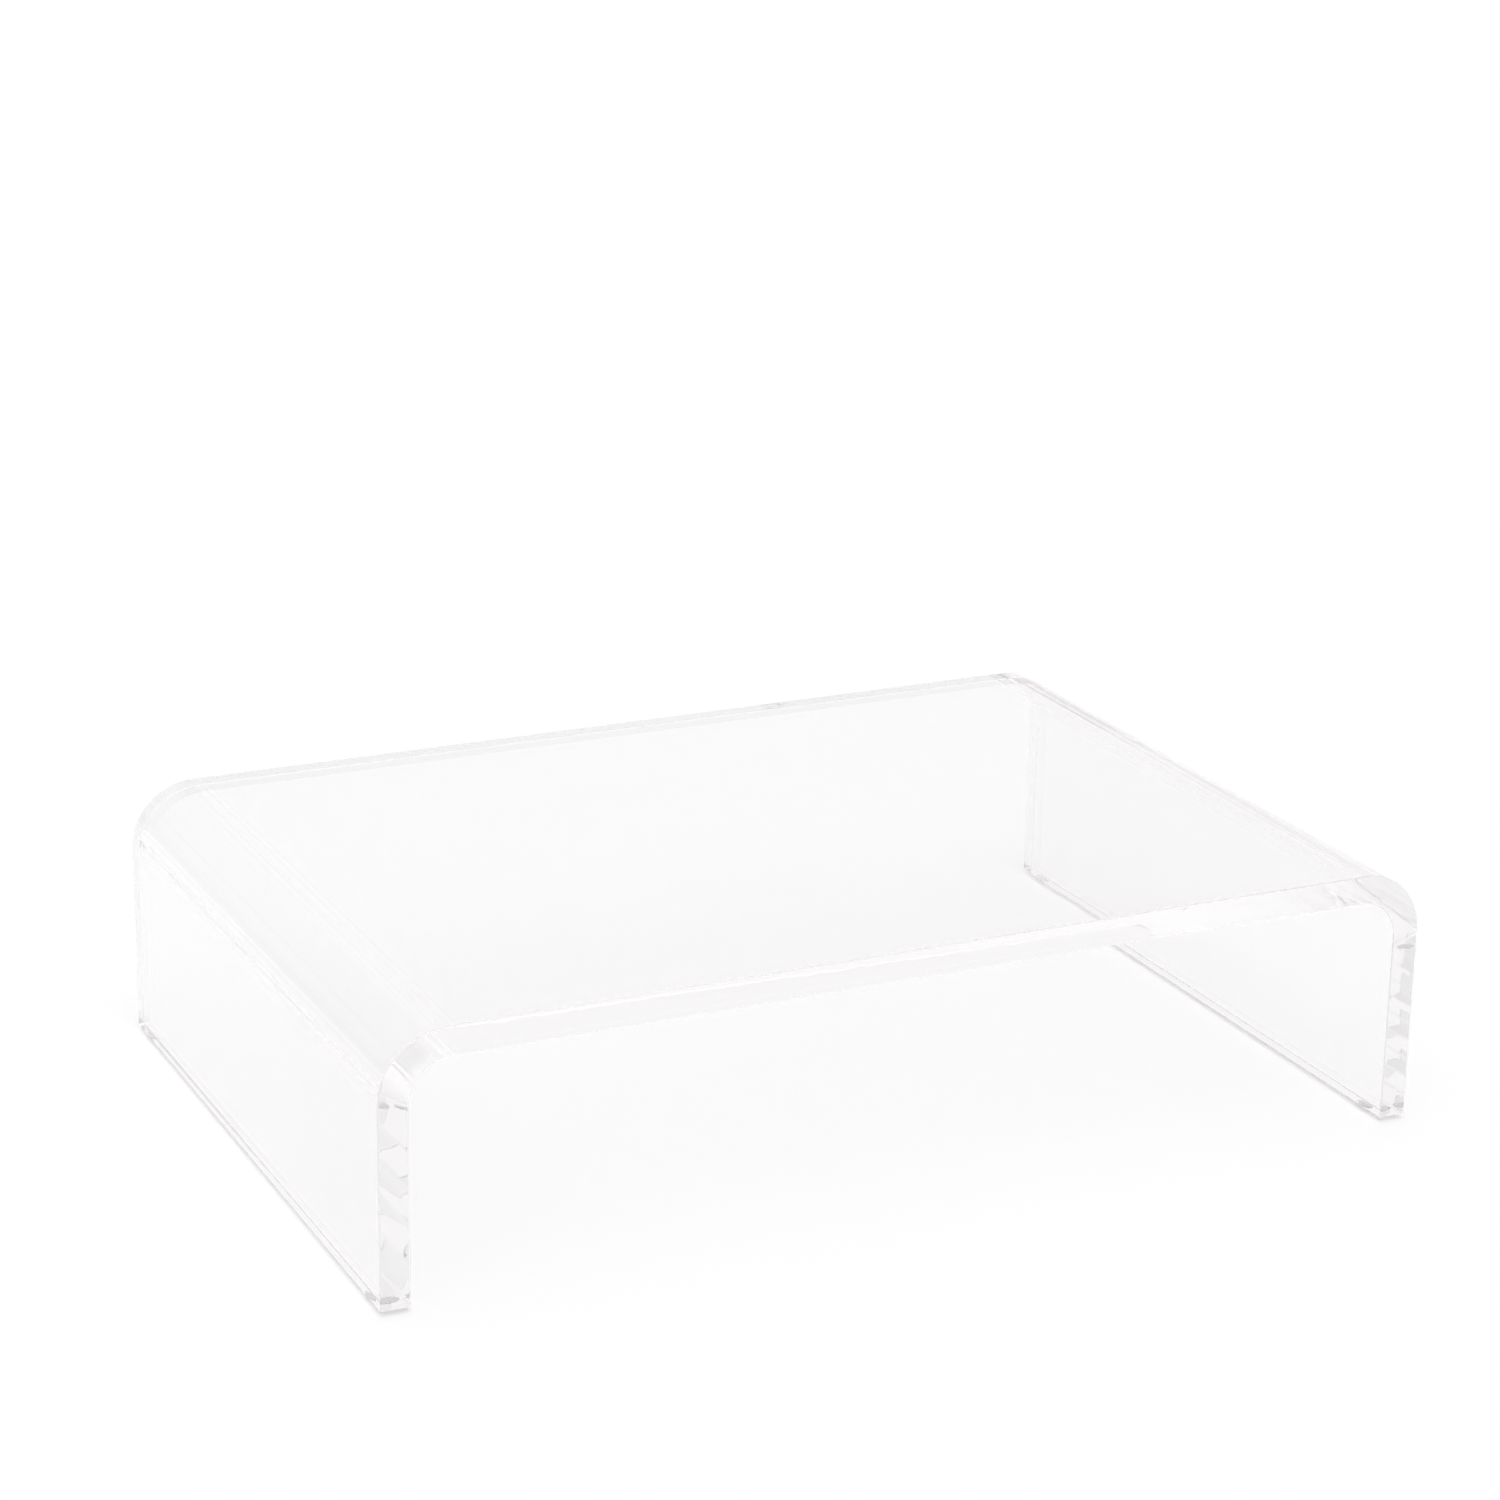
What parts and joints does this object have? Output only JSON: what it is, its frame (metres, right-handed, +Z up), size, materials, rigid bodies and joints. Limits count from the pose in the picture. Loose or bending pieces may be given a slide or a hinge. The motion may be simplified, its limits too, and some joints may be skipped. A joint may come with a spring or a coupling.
{
  "type": "monitor riser stand",
  "caption": "Clear bent-sheet riser that lifts a display above the desk and leaves an open space underneath.",
  "frame": {"origin": "on the desk, under the middle of the deck", "axes": "+X along the width, to the right seen from the front; +Y to the rear; +Z up"},
  "size_m": [0.362, 0.241, 0.0889],
  "materials": {
    "clear_acrylic": "polished",
    "clear_bumper": "satin",
    "clear_adhesive": "satin"
  },
  "bodies": {
    "root": {"riser_sheet": "clear_acrylic", "foot_front_left": "clear_bumper", "foot_front_right": "clear_bumper", "foot_rear_left": "clear_bumper", "foot_rear_right": "clear_bumper", "adhesive_front_left": "clear_adhesive", "adhesive_front_right": "clear_adhesive", "adhesive_rear_left": "clear_adhesive", "adhesive_rear_right": "clear_adhesive"}
  },
  "joints": []
}
